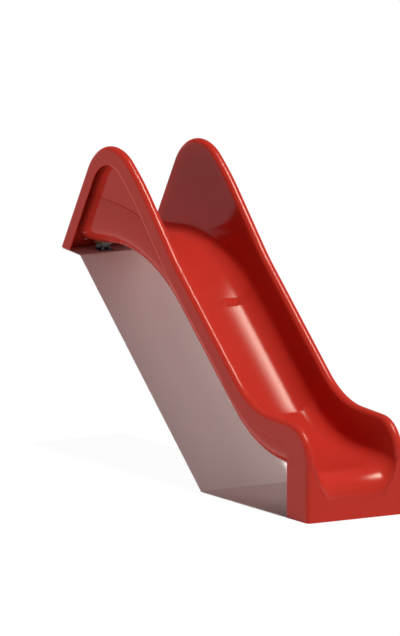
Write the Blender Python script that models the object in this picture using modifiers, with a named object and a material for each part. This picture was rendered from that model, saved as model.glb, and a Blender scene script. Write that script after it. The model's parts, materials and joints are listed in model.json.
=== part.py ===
"""Embankment slide: a glass-fibre chute with high moulded sides, on a folded bank plate.

Metres, +Z up. +X runs down the slide, and the front of the run-out is at X = 0.
Y = 0 is the middle of the chute, left is +Y for someone sliding down, and Z = 0 is
the ground under the run-out. The side view is drawn in the XZ plane, and a height
along the chute is measured square to its floor.
"""

import math

import bmesh
import bpy
from mathutils import Vector
from mathutils.geometry import intersect_line_line_2d

# Laminate and fits
SHELL = 0.007
FIT_GAP = 0.0003

# Chute floor
INNER_WIDTH = 0.500
ENTRY_HEIGHT = 1.200
RUNOUT_HEIGHT = 0.245
RUNOUT_LENGTH = 0.680
ENTRY_RISE = math.radians(4.3)
SLOPE = math.radians(40.2)
RUNOUT_FALL = math.radians(2.5)
CREST_RADIUS = 1.080
DIP_RADIUS = 0.840
FRONT_LIP_RADIUS = 0.133
LIP_DEPTH = 0.128
FLOOR_FILLET = 0.095

# Joint line between the chute and the side mouldings
JOINT_HEIGHT = 0.234
ENTRY_JOINT_HEIGHT = 0.246
ENTRY_JOINT_FALL = math.radians(2.7)
JOINT_RADIUS = 1.266
RIM_LAP_DEPTH = 0.035

# Side mouldings
RIM_WIDTH = 0.054
WALL_HEIGHT = 0.250
RUNOUT_WALL_HEIGHT = 0.266
FLANGE_DEPTH = 0.112
LEG_FLANGE_DEPTH = 0.092
RUNOUT_RIM_RADIUS = 0.586
FRONT_CORNER_RADIUS = 0.200

# Barriers beside the entry
BARRIER_HEIGHT = 0.560
PEAK_ADVANCE = 0.081
PEAK_RADIUS = 0.298
LEG_ANGLE = math.radians(59.3)
SHOULDER_ANGLE = math.radians(38.0)
BARRIER_ANGLE = math.radians(45.5)
BARRIER_TOE = 0.325
SHOULDER_RADIUS = 1.360
TOE_RADIUS = 1.200

# Run-out skirt and rear panel
SKIRT_LENGTH = 0.219
SKIRT_HEIGHT = 0.298
REAR_PANEL_RISE = 0.072

# Bank plate
PLATE_THICKNESS = 0.004
LANDING_DROP = 0.070
LANDING_LENGTH = 0.191
LANDING_FALL = math.radians(4.0)
BANK_ANGLE = math.radians(40.7)
FOLD_RADIUS = 0.012
TONGUE_SETBACK = 0.045
TONGUE_CLEARANCE = 0.002

# Stiffeners under the chute
STIFFENER_SPACING = 0.220
STIFFENER_BASE = 0.056
STIFFENER_CREST = 0.036
STIFFENER_DEPTH = 0.030
STIFFENER_REAR = 1.950
STIFFENER_FRONT = 0.330

# Brackets and pads between the chute and the bank plate
BRACKET_SPACING = 0.220
BRACKET_WIDTH = 0.080
BRACKET_LENGTH = 0.070
BRACKET_STEEL = 0.005
BRACKET_BEND = 0.009
ENTRY_BRACKET_SETBACK = 0.024
RUNOUT_BRACKET_SETBACK = 0.140
PAD_THICKNESS = 0.012
PAD_MARGIN = 0.006

# Bolts, studs and nuts
BOLT_SPACING = 0.044
BOLT_SETBACK = 0.026
BOLT_RADIUS = 0.005
BOLT_LENGTH = 0.014
STUD_LENGTH = 0.020
HOLE_CLEARANCE = 0.0006
HEX_WIDTH = 0.016
HEAD_HEIGHT = 0.0064
NUT_HEIGHT = 0.0084
WASHER_RADIUS = 0.0105
WASHER_THICKNESS = 0.002

# Facets
ARC_STEP = math.radians(5.0)
FOLD_STEP = math.radians(15.0)
SHARP_ANGLE = math.radians(30.0)
RIM_STEPS = 10
FILLET_STEPS = 7
BOLT_SIDES = 16
WELD = 0.00001
FILLET_SHARE = 0.98
CUT_MARGIN = 0.1

# Sizes that follow from the ones above
HALF_INNER = INNER_WIDTH / 2
RIM_RADIUS = RIM_WIDTH / 2
HALF_OUTER = HALF_INNER + RIM_WIDTH
TRIM_HEIGHT = ENTRY_JOINT_HEIGHT + CUT_MARGIN
CUT_REACH = HALF_OUTER + CUT_MARGIN
FAR_BELOW = -0.5
FAR_BEHIND = -5.0
FAR_AHEAD = 1.0


def ray(angle):
    """Unit direction in the side view, with the angle up from +X."""
    return Vector((math.cos(angle), math.sin(angle)))


def left_of(direction):
    """The direction turned a quarter turn to the left, which is up for +X."""
    return Vector((-direction.y, direction.x))


def stretch(points, x_low, x_high):
    """The part of a side-view line between two X values, for a line that runs along +X."""
    part = []
    for before, after in zip(points, points[1:]):
        for x in (x_low, x_high):
            if before.x < x <= after.x:
                part.append(before.lerp(after, (x - before.x) / (after.x - before.x)))
        if x_low < after.x < x_high:
            part.append(after.copy())
    return sorted(part, key=lambda p: p.x)


def meeting(point_a, angle_a, point_b, angle_b):
    """Where two lines meet in the side view, each through a point at an angle."""
    a, b = ray(angle_a), ray(angle_b)
    gap = point_b - point_a
    along = (gap.x * b.y - gap.y * b.x) / (a.x * b.y - a.y * b.x)
    return point_a + a * along


def rounded(corners, radii, step=ARC_STEP):
    """Points along straight runs through the corners, each inner corner rounded.

    A radius that its straight runs have no room for is reduced to fit.
    """
    count = len(corners)
    turns, cuts = [0.0] * count, [0.0] * count
    for i in range(1, count - 1):
        before = corners[i] - corners[i - 1]
        after = corners[i + 1] - corners[i]
        turns[i] = math.atan2(before.x * after.y - before.y * after.x, before.dot(after))
        cuts[i] = radii[i] * math.tan(abs(turns[i]) / 2)
    for i in range(count - 1):
        run = (corners[i + 1] - corners[i]).length
        wanted = cuts[i] + cuts[i + 1]
        if wanted > run:
            cuts[i] *= FILLET_SHARE * run / wanted
            cuts[i + 1] *= FILLET_SHARE * run / wanted
    points = [corners[0].copy()]
    for i in range(1, count - 1):
        before = (corners[i] - corners[i - 1]).normalized()
        after = (corners[i + 1] - corners[i]).normalized()
        radius = cuts[i] / math.tan(abs(turns[i]) / 2)
        side = left_of(before) * math.copysign(1.0, turns[i])
        start = corners[i] - before * cuts[i]
        centre = start + side * radius
        steps = max(2, math.ceil(abs(turns[i]) / step))
        for k in range(steps + 1):
            bend = abs(turns[i]) * k / steps
            points.append(centre - side * radius * math.cos(bend) + before * radius * math.sin(bend))
    points.append(corners[-1].copy())
    return points


def normals(points):
    """Left-hand unit normals of a side-view line, one for each point."""
    result = []
    for i in range(len(points)):
        ahead = points[min(i + 1, len(points) - 1)]
        behind = points[max(i - 1, 0)]
        result.append(left_of((ahead - behind).normalized()))
    return result


def shifted(points, distance):
    """The line moved to its left by a distance, or by one distance for each point."""
    sides = normals(points)
    if not isinstance(distance, list):
        distance = [distance] * len(points)
    return [p + n * d for p, n, d in zip(points, sides, distance)]


# Side-view lines of the chute floor
slope_up = left_of(ray(-SLOPE))
runout_up = left_of(ray(-RUNOUT_FALL))
dip_corner = Vector((-RUNOUT_LENGTH, RUNOUT_HEIGHT + RUNOUT_LENGTH * math.tan(RUNOUT_FALL)))
crest_centre = meeting(
    dip_corner - slope_up * CREST_RADIUS, -SLOPE, Vector((0.0, ENTRY_HEIGHT - CREST_RADIUS)), 0.0
)
entry_start = crest_centre + left_of(ray(ENTRY_RISE)) * CREST_RADIUS
crest_corner = meeting(entry_start, ENTRY_RISE, dip_corner, -SLOPE)
front_corner = Vector((0.0, RUNOUT_HEIGHT))
lip_end = Vector((0.0, RUNOUT_HEIGHT - LIP_DEPTH))

# Side-view line of the joint between the chute and the side mouldings
entry_joint = Vector((crest_centre.x, ENTRY_HEIGHT + ENTRY_JOINT_HEIGHT))
slope_joint = dip_corner + slope_up * JOINT_HEIGHT
runout_joint = dip_corner + runout_up * JOINT_HEIGHT
joint_crest = meeting(entry_joint, -ENTRY_JOINT_FALL, slope_joint, -SLOPE)
joint_dip = meeting(slope_joint, -SLOPE, runout_joint, -RUNOUT_FALL)

# Side-view outline of the side mouldings
slope_rim = dip_corner + slope_up * WALL_HEIGHT
runout_rim = dip_corner + runout_up * RUNOUT_WALL_HEIGHT
rim_dip = meeting(slope_rim, -SLOPE, runout_rim, -RUNOUT_FALL)
rim_front = meeting(runout_rim, -RUNOUT_FALL, Vector((0.0, 0.0)), math.pi / 2)
rim_toe = crest_corner + ray(-SLOPE) * BARRIER_TOE + slope_up * WALL_HEIGHT
peak_centre = Vector((crest_centre.x + PEAK_ADVANCE, ENTRY_HEIGHT + BARRIER_HEIGHT - PEAK_RADIUS))
shoulder_point = peak_centre + left_of(ray(-SHOULDER_ANGLE)) * PEAK_RADIUS
leg_point = peak_centre + left_of(ray(LEG_ANGLE)) * PEAK_RADIUS
rim_shoulder = meeting(shoulder_point, -SHOULDER_ANGLE, rim_toe, -BARRIER_ANGLE)
rim_peak = meeting(leg_point, LEG_ANGLE, shoulder_point, -SHOULDER_ANGLE)

# Side-view line of the bank plate's top face
landing_height = ENTRY_HEIGHT - LANDING_DROP
leg_middle = leg_point - left_of(ray(LEG_ANGLE)) * RIM_RADIUS
landing_rear = meeting(leg_middle, LEG_ANGLE, Vector((0.0, landing_height)), 0.0)
landing_fold = landing_rear + ray(-LANDING_FALL) * LANDING_LENGTH
foot_fold = meeting(landing_fold, -BANK_ANGLE, Vector((0.0, PLATE_THICKNESS)), 0.0)
plate_front = Vector((-TONGUE_SETBACK, PLATE_THICKNESS))
leg_foot = meeting(leg_point, LEG_ANGLE, Vector((0.0, landing_height - LANDING_DROP)), 0.0)
chute_rear = meeting(leg_point, LEG_ANGLE, entry_start, ENTRY_RISE)

floor_line = rounded(
    [chute_rear, crest_corner, dip_corner, front_corner, lip_end],
    [0.0, CREST_RADIUS, DIP_RADIUS, FRONT_LIP_RADIUS, 0.0],
)
joint_line = rounded(
    [
        meeting(leg_point, LEG_ANGLE, entry_joint, -ENTRY_JOINT_FALL),
        joint_crest,
        joint_dip,
        meeting(runout_joint, -RUNOUT_FALL, Vector((FAR_AHEAD, 0.0)), math.pi / 2),
    ],
    [0.0, JOINT_RADIUS, DIP_RADIUS - JOINT_HEIGHT, 0.0],
)
outline = rounded(
    [leg_foot, rim_peak, rim_shoulder, rim_toe, rim_dip, rim_front, Vector((0.0, SKIRT_HEIGHT))],
    [0.0, PEAK_RADIUS, SHOULDER_RADIUS, TOE_RADIUS, RUNOUT_RIM_RADIUS, FRONT_CORNER_RADIUS, 0.0],
)
plate_line = rounded(
    [landing_rear, landing_fold, foot_fold, plate_front],
    [0.0, FOLD_RADIUS, FOLD_RADIUS, 0.0],
    FOLD_STEP,
)

# Scene
for leftover in list(bpy.data.objects):
    bpy.data.objects.remove(leftover)

slide = bpy.data.collections.new("embankment_slide")
cutters = bpy.data.collections.new("cutters")
bpy.context.scene.collection.children.link(slide)
bpy.context.scene.collection.children.link(cutters)


def finish(name, colour, roughness, metallic=0.0):
    """A plain Principled material."""
    material = bpy.data.materials.new(name)
    material.use_nodes = True
    shader = material.node_tree.nodes["Principled BSDF"]
    shader.inputs["Base Color"].default_value = (*colour, 1.0)
    shader.inputs["Roughness"].default_value = roughness
    shader.inputs["Metallic"].default_value = metallic
    return material


red_gelcoat = finish("red_gelcoat", (0.60, 0.03, 0.022), 0.10)
red_laminate = finish("red_laminate", (0.42, 0.05, 0.035), 0.55)
grey_plate = finish("grey_plate", (0.46, 0.43, 0.42), 0.30)
zinc_steel = finish("zinc_steel", (0.16, 0.16, 0.165), 0.45, 1.0)
pad_resin = finish("pad_resin", (0.20, 0.08, 0.05), 0.60)


def linked(name, data, home, material=None):
    """A new object in a collection, with one material."""
    thing = bpy.data.objects.new(name, data)
    home.objects.link(thing)
    if material:
        data.materials.append(material)
    if home is cutters:
        thing.hide_render = True
        thing.display_type = "WIRE"
    return thing


def flat_curve(name, points, closed):
    """2D curve data through points given as pairs."""
    data = bpy.data.curves.new(name, "CURVE")
    data.dimensions = "2D"
    spline = data.splines.new("POLY")
    spline.points.add(len(points) - 1)
    for target, point in zip(spline.points, points):
        target.co = (point[0], point[1], 0.0, 1.0)
    spline.use_cyclic_u = closed
    return data


def meshed(curve_object, material=None):
    """Turns a curve object into a welded mesh object of the same name and place."""
    bpy.context.view_layer.update()
    graph = bpy.context.evaluated_depsgraph_get()
    mesh = bpy.data.meshes.new_from_object(curve_object.evaluated_get(graph))
    shape = bmesh.new()
    shape.from_mesh(mesh)
    bmesh.ops.remove_doubles(shape, verts=shape.verts, dist=WELD)
    shape.to_mesh(mesh)
    shape.free()
    name, home = curve_object.name, curve_object.users_collection[0]
    place = curve_object.matrix_world.copy()
    bpy.data.objects.remove(curve_object)
    mesh.materials.clear()
    thing = linked(name, mesh, home, material)
    thing.name = name
    thing.matrix_world = place
    return thing


def prism(name, points, y_low, y_high, home=cutters, material=None):
    """A side-view outline made solid between two widths."""
    data = flat_curve(name, points, True)
    data.fill_mode = "BOTH"
    data.extrude = (y_high - y_low) / 2
    thing = linked(name, data, home)
    thing.rotation_euler = (math.pi / 2, 0.0, 0.0)
    thing.location = (0.0, (y_low + y_high) / 2, 0.0)
    return meshed(thing, material)


def sweep(name, path, section, closed, home=cutters, material=None, y=0.0):
    """A section of (height, width) pairs carried along a side-view line at one Y."""
    guide = linked(name + "_section", flat_curve(name + "_section", section, closed), cutters)
    for point in guide.data.splines[0].points:
        point.co = (-point.co.x, -point.co.y, 0.0, 1.0)
    data = flat_curve(name, path, False)
    data.bevel_mode = "OBJECT"
    data.bevel_object = guide
    data.use_fill_caps = closed
    thing = linked(name, data, home)
    thing.rotation_euler = (math.pi / 2, 0.0, 0.0)
    thing.location.y = y
    thing = meshed(thing, material)
    bpy.data.objects.remove(guide)
    return thing


def outward(thing):
    """Turns a closed mesh's faces to point out."""
    shape = bmesh.new()
    shape.from_mesh(thing.data)
    bmesh.ops.recalc_face_normals(shape, faces=shape.faces)
    shape.to_mesh(thing.data)
    shape.free()
    return thing


def thicken(thing, thickness, side=1.0):
    """Gives a sheet its wall, on the side that its faces point to, or behind them at -1."""
    wall = thing.modifiers.new("wall", "SOLIDIFY")
    wall.thickness = thickness
    wall.offset = side
    wall.use_even_offset = True
    return thing


def cut(thing, tool, operation="DIFFERENCE"):
    """A Boolean with another object."""
    boolean = thing.modifiers.new(operation.lower(), "BOOLEAN")
    boolean.operation = operation
    boolean.object = tool
    boolean.solver = "EXACT"
    return thing


def shade(thing):
    """Smooth shading with sharp edges kept."""
    thing.data.shade_smooth()
    thing.data.set_sharp_from_angle(angle=SHARP_ANGLE)
    return thing


def cylinder(name, radius, z_low, z_high, sides=BOLT_SIDES):
    """An upright closed cylinder, or a hexagon with six sides, in the cutters' collection."""
    shape = bmesh.new()
    bmesh.ops.create_cone(
        shape,
        cap_ends=True,
        segments=sides,
        radius1=radius,
        radius2=radius,
        depth=z_high - z_low,
    )
    bmesh.ops.translate(shape, verts=shape.verts, vec=(0.0, 0.0, (z_low + z_high) / 2))
    mesh = bpy.data.meshes.new(name)
    shape.to_mesh(mesh)
    shape.free()
    return linked(name, mesh, cutters)


def fused(name, base, tool, operation):
    """Mesh data of two cutter objects joined or cut, to be shared by copies."""
    cut(base, tool, operation)
    bpy.context.view_layer.update()
    graph = bpy.context.evaluated_depsgraph_get()
    mesh = bpy.data.meshes.new_from_object(base.evaluated_get(graph))
    mesh.name = name
    mesh.materials.clear()
    mesh.materials.append(zinc_steel)
    bpy.data.objects.remove(base)
    bpy.data.objects.remove(tool)
    return mesh


def stand(name, mesh, point, angle, y, home=slide):
    """A copy of a fixing whose axis is square to a side-view line at a point."""
    thing = bpy.data.objects.new(name, mesh)
    home.objects.link(thing)
    thing.location = (point.x, y, point.y)
    thing.rotation_euler = (0.0, -angle, 0.0)
    if home is cutters:
        thing.hide_render = True
        thing.display_type = "WIRE"
    return thing


def chute_section(offset, top):
    """The chute's section as (height, width) pairs, moved out by an offset, wall to wall."""
    half = HALF_INNER + offset
    radius = FLOOR_FILLET + offset
    side = [(top, half)]
    for k in range(FILLET_STEPS + 1):
        turn = math.pi / 2 * k / FILLET_STEPS
        side.append(
            (radius - offset - radius * math.sin(turn), half - radius + radius * math.cos(turn))
        )
    return [(h, -w) for h, w in side] + [(h, w) for h, w in reversed(side)]


def extended(points, distance):
    """A line with its two ends carried on straight."""
    first = points[0] + (points[0] - points[1]).normalized() * distance
    last = points[-1] + (points[-1] - points[-2]).normalized() * distance
    return [first] + points[1:-1] + [last]


# Cutting tools shared by the mouldings
def joint_zone(name, play, y_low, y_high):
    """Everything below the joint line and inside the lap of the rim, with some play."""
    depth = RIM_LAP_DEPTH + FIT_GAP - play
    nose_height = SKIRT_HEIGHT - FIT_GAP + play
    lap = shifted(outline, -depth)
    lap = [p for p in lap if p.y > nose_height or p.x < -SKIRT_LENGTH]
    nose = [Vector((-depth, nose_height)), Vector((0.0, nose_height)), Vector((0.0, FAR_BELOW))]
    rear = [Vector((FAR_BEHIND, FAR_BELOW)), lap[0] - ray(LEG_ANGLE)]
    zone = outward(prism(name, lap + nose + rear, y_low, y_high))
    line = shifted(joint_line, play)
    line[0] = line[0] - ray(-ENTRY_JOINT_FALL)
    below = [
        Vector((FAR_AHEAD, FAR_BELOW)),
        Vector((FAR_BEHIND, FAR_BELOW)),
        Vector((FAR_BEHIND, ENTRY_HEIGHT)),
    ]
    under_line = outward(prism(name + "_line", line + below, y_low - SHELL, y_high + SHELL))
    return cut(zone, under_line, "INTERSECT")


def bank_zone():
    """Everything below the landing, with the fitting gap."""
    rear = landing_rear - ray(-LANDING_FALL)
    corners = [rear, landing_fold, Vector((landing_fold.x, FAR_BELOW)), Vector((rear.x, FAR_BELOW))]
    corners[:2] = [p + Vector((0.0, FIT_GAP)) for p in corners[:2]]
    return outward(prism("bank_zone", corners, -CUT_REACH, CUT_REACH))


def chute_bulk(name, line):
    """The chute filled from wall to wall, for cutting what fits round it."""
    return outward(sweep(name, line, chute_section(SHELL + FIT_GAP, TRIM_HEIGHT), True))


below_landing = bank_zone()
chute_fit = chute_bulk("chute_fit", extended(floor_line, FIT_GAP))


def build_chute():
    """The U-shaped chute, from the entry over the crest to the rolled front lip."""
    chute = sweep("chute", floor_line, chute_section(0.0, TRIM_HEIGHT), False, slide, red_gelcoat)
    thicken(chute, SHELL)
    cut(chute, joint_zone("chute_joint", 0.0, -CUT_REACH, CUT_REACH), "INTERSECT")
    return shade(chute)


def flange_depths():
    """Depth of the outer flange at each outline point: less on the leg than past the peak."""
    start, end = LEG_ANGLE, -SHOULDER_ANGLE
    depths = []
    for normal in normals(outline):
        angle = math.atan2(-normal.x, normal.y)
        share = min(1.0, max(0.0, (start - angle) / (start - end)))
        depths.append(LEG_FLANGE_DEPTH + (FLANGE_DEPTH - LEG_FLANGE_DEPTH) * share)
    return depths


def build_side(name, side):
    """One side moulding: inner web, rounded rim and outer flange in a single sheet."""
    shape = bmesh.new()
    sides = normals(outline)
    rows = []
    for k in range(RIM_STEPS + 1):
        turn = math.pi * k / RIM_STEPS
        y = side * (HALF_INNER + RIM_RADIUS - RIM_RADIUS * math.cos(turn))
        depth = RIM_RADIUS - RIM_RADIUS * math.sin(turn)
        line = [p - n * depth for p, n in zip(outline, sides)]
        rows.append([shape.verts.new((p.x, y, p.y)) for p in line])
    for low, high in zip(rows, rows[1:]):
        for i in range(len(outline) - 1):
            shape.faces.new([low[i], low[i + 1], high[i + 1], high[i]])

    hidden = shifted(floor_line, JOINT_HEIGHT / 2)
    hidden = [p for p in hidden if crest_centre.x <= p.x < -SKIRT_LENGTH / 2]
    web = rows[0] + [shape.verts.new((p.x, side * HALF_INNER, p.y)) for p in reversed(hidden)]
    shape.faces.new(list(reversed(web)))

    edge = [p - n * d for p, n, d in zip(outline, sides, flange_depths())]
    inside = [p for p in edge if p.x < -SKIRT_LENGTH and p.y > SKIRT_HEIGHT]
    last, following = inside[-1], edge[len(inside)]
    share = (-SKIRT_LENGTH - last.x) / (following.x - last.x)
    inside.append(last.lerp(following, share))
    inside.append(Vector((-SKIRT_LENGTH, SKIRT_HEIGHT)))
    flange = rows[-1] + [shape.verts.new((p.x, side * HALF_OUTER, p.y)) for p in reversed(inside)]
    shape.faces.new(flange)

    if side < 0:
        bmesh.ops.reverse_faces(shape, faces=shape.faces)
    mesh = bpy.data.meshes.new(name)
    shape.to_mesh(mesh)
    shape.free()
    moulding = thicken(linked(name, mesh, slide, red_gelcoat), SHELL, -1.0)

    inner, outer = HALF_INNER - SHELL, HALF_INNER + 2 * SHELL
    low, high = (inner, outer) if side > 0 else (-outer, -inner)
    cut(moulding, joint_zone(name + "_joint", FIT_GAP, low, high))
    cut(moulding, below_landing)
    return shade(moulding)


def build_skirt():
    """The upright run-out skirt: a front with rounded corners and two side returns."""
    rim = HALF_OUTER
    corners = [
        Vector((-SKIRT_LENGTH, -rim)),
        Vector((0.0, -rim)),
        Vector((0.0, rim)),
        Vector((-SKIRT_LENGTH, rim)),
    ]
    plan = rounded(corners, [0.0, RIM_RADIUS, RIM_RADIUS, 0.0], step=math.pi / RIM_STEPS)
    data = flat_curve("runout_skirt", plan, False)
    data.extrude = (SKIRT_HEIGHT - FIT_GAP) / 2
    skirt = linked("runout_skirt", data, slide)
    skirt.location.z = data.extrude
    skirt = thicken(meshed(skirt, red_gelcoat), SHELL)
    cut(skirt, chute_fit)
    return shade(skirt)


def build_rear_panel():
    """The flat panel that closes the entry between the legs, below the chute's U."""
    lean = left_of(ray(LEG_ANGLE))
    top = entry_start + left_of(ray(ENTRY_RISE)) * REAR_PANEL_RISE
    corners = []
    for depth, ends in ((0.0, 1), (SHELL, -1)):
        start = leg_point - lean * (RIM_LAP_DEPTH + FIT_GAP + depth)
        low = meeting(start, LEG_ANGLE, landing_rear + Vector((0.0, FIT_GAP)), -LANDING_FALL)
        high = meeting(start, LEG_ANGLE, top, ENTRY_RISE)
        corners += [low, high][::ends]
    half = HALF_INNER + SHELL
    panel = outward(prism("rear_panel", corners, -half, half, slide, red_gelcoat))
    return cut(panel, chute_fit)


def build_plate():
    """The folded plate: landing, bank slope and foot, with a tongue inside the skirt."""
    section = [(0.0, -HALF_OUTER), (0.0, HALF_OUTER)]
    plate = sweep("bank_plate", plate_line, section, False, slide, grey_plate)
    thicken(plate, PLATE_THICKNESS)
    inside = HALF_OUTER - SHELL - TONGUE_CLEARANCE
    rear, front = -SKIRT_LENGTH - FIT_GAP, FIT_GAP
    corners = [
        Vector((rear, CUT_MARGIN)),
        Vector((front, CUT_MARGIN)),
        Vector((front, -CUT_MARGIN)),
        Vector((rear, -CUT_MARGIN)),
    ]
    for side, low, high in (("right", -CUT_REACH, -inside), ("left", inside, CUT_REACH)):
        cut(plate, outward(prism(side + "_tongue_notch", corners, low, high)))
    return plate


def build_stiffener(name, y):
    """A tapered rib of laminate bonded under the chute along the crest and the slope."""
    line = shifted(floor_line, -(SHELL + FIT_GAP))
    line = stretch(line, -STIFFENER_REAR, -STIFFENER_FRONT)
    base, crest = STIFFENER_BASE / 2, STIFFENER_CREST / 2
    section = [(0.0, -base), (0.0, base), (-STIFFENER_DEPTH, crest), (-STIFFENER_DEPTH, -crest)]
    return shade(outward(sweep(name, line, section, True, slide, red_laminate, y)))


def build_pad(name, x_rear, y):
    """A block of laminate bonded under the chute, which takes the bracket's bolts."""
    line = shifted(floor_line, -(SHELL + FIT_GAP))
    line = stretch(line, x_rear - PAD_MARGIN, x_rear + BRACKET_LENGTH + PAD_MARGIN)
    half = BRACKET_WIDTH / 2 + PAD_MARGIN
    section = [(0.0, -half), (0.0, half), (-PAD_THICKNESS, half), (-PAD_THICKNESS, -half)]
    return outward(sweep(name, line, section, True, slide, pad_resin, y))


def build_bracket(name, x_rear, y, seat, seat_angle, roof, roof_angle):
    """A folded steel channel that stands on the plate and carries a pad."""
    x_front = x_rear + BRACKET_LENGTH
    corners = [
        meeting(seat, seat_angle, Vector((x_front, 0.0)), math.pi / 2),
        meeting(seat, seat_angle, Vector((x_rear, 0.0)), math.pi / 2),
        meeting(roof, roof_angle, Vector((x_rear, 0.0)), math.pi / 2),
        meeting(roof, roof_angle, Vector((x_front, 0.0)), math.pi / 2),
    ]
    line = rounded(corners, [0.0, BRACKET_BEND, BRACKET_BEND, 0.0], FOLD_STEP)
    section = [(0.0, -BRACKET_WIDTH / 2), (0.0, BRACKET_WIDTH / 2)]
    return thicken(sweep(name, line, section, False, slide, zinc_steel, y), BRACKET_STEEL)


def build_support(prefix, x_rear, y, plate_point, plate_angle, floor_point, floor_angle):
    """One bracket with its pad, two bolts into the pad and two nuts on the plate's studs."""
    seat = plate_point + left_of(ray(plate_angle)) * FIT_GAP
    roof = floor_point - left_of(ray(floor_angle)) * (SHELL + PAD_THICKNESS + 2 * FIT_GAP)
    bracket = build_bracket(prefix + "_bracket", x_rear, y, seat, plate_angle, roof, floor_angle)
    pad = build_pad(prefix + "_pad", x_rear, y)
    x_bolt = Vector((x_rear + BRACKET_LENGTH - BOLT_SETBACK, 0.0))
    up = left_of(ray(plate_angle))
    down = -left_of(ray(floor_angle))
    on_plate = meeting(plate_point, plate_angle, x_bolt, math.pi / 2)
    under_pad = meeting(roof, floor_angle, x_bolt, math.pi / 2)
    washer_seat = on_plate + up * (2 * FIT_GAP + BRACKET_STEEL)
    nut_seat = washer_seat + up * (WASHER_THICKNESS + FIT_GAP)
    bolt_seat = under_pad + down * (BRACKET_STEEL + FIT_GAP)
    for number, step in ((1, -BOLT_SPACING / 2), (2, BOLT_SPACING / 2)):
        label = f"_{number}"
        place = y + step
        stud_hole = stand(prefix + "_stud_hole" + label, hole_mesh, on_plate, plate_angle, place, cutters)
        bolt_hole = stand(prefix + "_bolt_hole" + label, hole_mesh, bolt_seat, floor_angle, place, cutters)
        cut(bracket, stud_hole)
        cut(bracket, bolt_hole)
        cut(pad, bolt_hole)
        stand(prefix + "_bolt" + label, bolt_mesh, bolt_seat, floor_angle, place)
        stand(prefix + "_stud" + label, stud_mesh, on_plate + up * FIT_GAP, plate_angle, place)
        stand(prefix + "_washer" + label, washer_mesh, washer_seat, plate_angle, place)
        stand(prefix + "_nut" + label, nut_mesh, nut_seat, plate_angle, place)


hex_radius = HEX_WIDTH / math.sqrt(3.0)
bolt_mesh = fused(
    "flange_bolt",
    cylinder("bolt_head", hex_radius, -HEAD_HEIGHT, 0.0, 6),
    cylinder("bolt_shank", BOLT_RADIUS, -HEAD_HEIGHT / 2, BOLT_LENGTH),
    "UNION",
)
nut_mesh = fused(
    "hex_nut",
    cylinder("nut_body", hex_radius, 0.0, NUT_HEIGHT, 6),
    cylinder("nut_bore", BOLT_RADIUS + HOLE_CLEARANCE / 2, -NUT_HEIGHT, 2 * NUT_HEIGHT),
    "DIFFERENCE",
)
washer_mesh = fused(
    "washer",
    cylinder("washer_body", WASHER_RADIUS, 0.0, WASHER_THICKNESS),
    cylinder("washer_bore", BOLT_RADIUS + HOLE_CLEARANCE, -WASHER_THICKNESS, 2 * WASHER_THICKNESS),
    "DIFFERENCE",
)
stud_mesh = cylinder("weld_stud", BOLT_RADIUS, 0.0, STUD_LENGTH).data
stud_mesh.materials.append(zinc_steel)
bpy.data.objects.remove(bpy.data.objects["weld_stud"])
hole_mesh = cylinder(
    "bolt_hole", BOLT_RADIUS + HOLE_CLEARANCE, -HOLE_CLEARANCE, BOLT_LENGTH + HOLE_CLEARANCE
).data
bpy.data.objects.remove(bpy.data.objects["bolt_hole"])

build_chute()
build_side("left_side_moulding", 1)
build_side("right_side_moulding", -1)
build_skirt()
build_rear_panel()
build_plate()
entry_bracket_rear = landing_fold.x - ENTRY_BRACKET_SETBACK - BRACKET_LENGTH
runout_bracket_rear = -RUNOUT_BRACKET_SETBACK - BRACKET_LENGTH
for side, sign in (("left", 1), ("right", -1)):
    build_stiffener(side + "_stiffener", sign * STIFFENER_SPACING / 2)
    y_bracket = sign * BRACKET_SPACING / 2
    build_support(
        side + "_entry",
        entry_bracket_rear,
        y_bracket,
        landing_fold,
        -LANDING_FALL,
        entry_start,
        ENTRY_RISE,
    )
    build_support(
        side + "_runout",
        runout_bracket_rear,
        y_bracket,
        plate_front,
        0.0,
        front_corner,
        -RUNOUT_FALL,
    )
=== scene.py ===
"""Looks of the embankment slide: glossy red laminate on a folded grey plate, in a pale studio.

Metres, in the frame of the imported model: +X runs down the slide, +Y is the slider's left,
+Z is up, and the front of the run-out is at X = 0. The side view is drawn in the XZ plane.
"""

import json
import math

import bmesh
import bpy
from mathutils import Matrix, Vector


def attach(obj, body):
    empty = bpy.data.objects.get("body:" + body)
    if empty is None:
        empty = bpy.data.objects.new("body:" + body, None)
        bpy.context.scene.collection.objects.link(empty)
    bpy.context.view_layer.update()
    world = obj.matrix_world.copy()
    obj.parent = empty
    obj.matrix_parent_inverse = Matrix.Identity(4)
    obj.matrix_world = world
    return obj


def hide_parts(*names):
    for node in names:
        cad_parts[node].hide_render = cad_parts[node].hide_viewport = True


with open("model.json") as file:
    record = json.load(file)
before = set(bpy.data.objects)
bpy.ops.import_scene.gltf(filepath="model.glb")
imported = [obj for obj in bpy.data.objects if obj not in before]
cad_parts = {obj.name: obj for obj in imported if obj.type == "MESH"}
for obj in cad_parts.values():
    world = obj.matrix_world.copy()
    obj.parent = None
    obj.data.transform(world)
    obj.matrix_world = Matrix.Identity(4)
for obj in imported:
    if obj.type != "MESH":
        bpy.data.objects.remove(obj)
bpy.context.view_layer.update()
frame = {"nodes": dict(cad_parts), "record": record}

# Laminate and fits
SHELL = 0.007
FIT_GAP = 0.0003

# Chute floor
INNER_WIDTH = 0.500
ENTRY_HEIGHT = 1.200
RUNOUT_HEIGHT = 0.245
RUNOUT_LENGTH = 0.680
ENTRY_RISE = math.radians(4.3)
SLOPE = math.radians(40.2)
RUNOUT_FALL = math.radians(2.5)
CREST_RADIUS = 1.080
DIP_RADIUS = 0.840
FRONT_LIP_RADIUS = 0.133
LIP_DEPTH = 0.128
FLOOR_FILLET = 0.095

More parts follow.
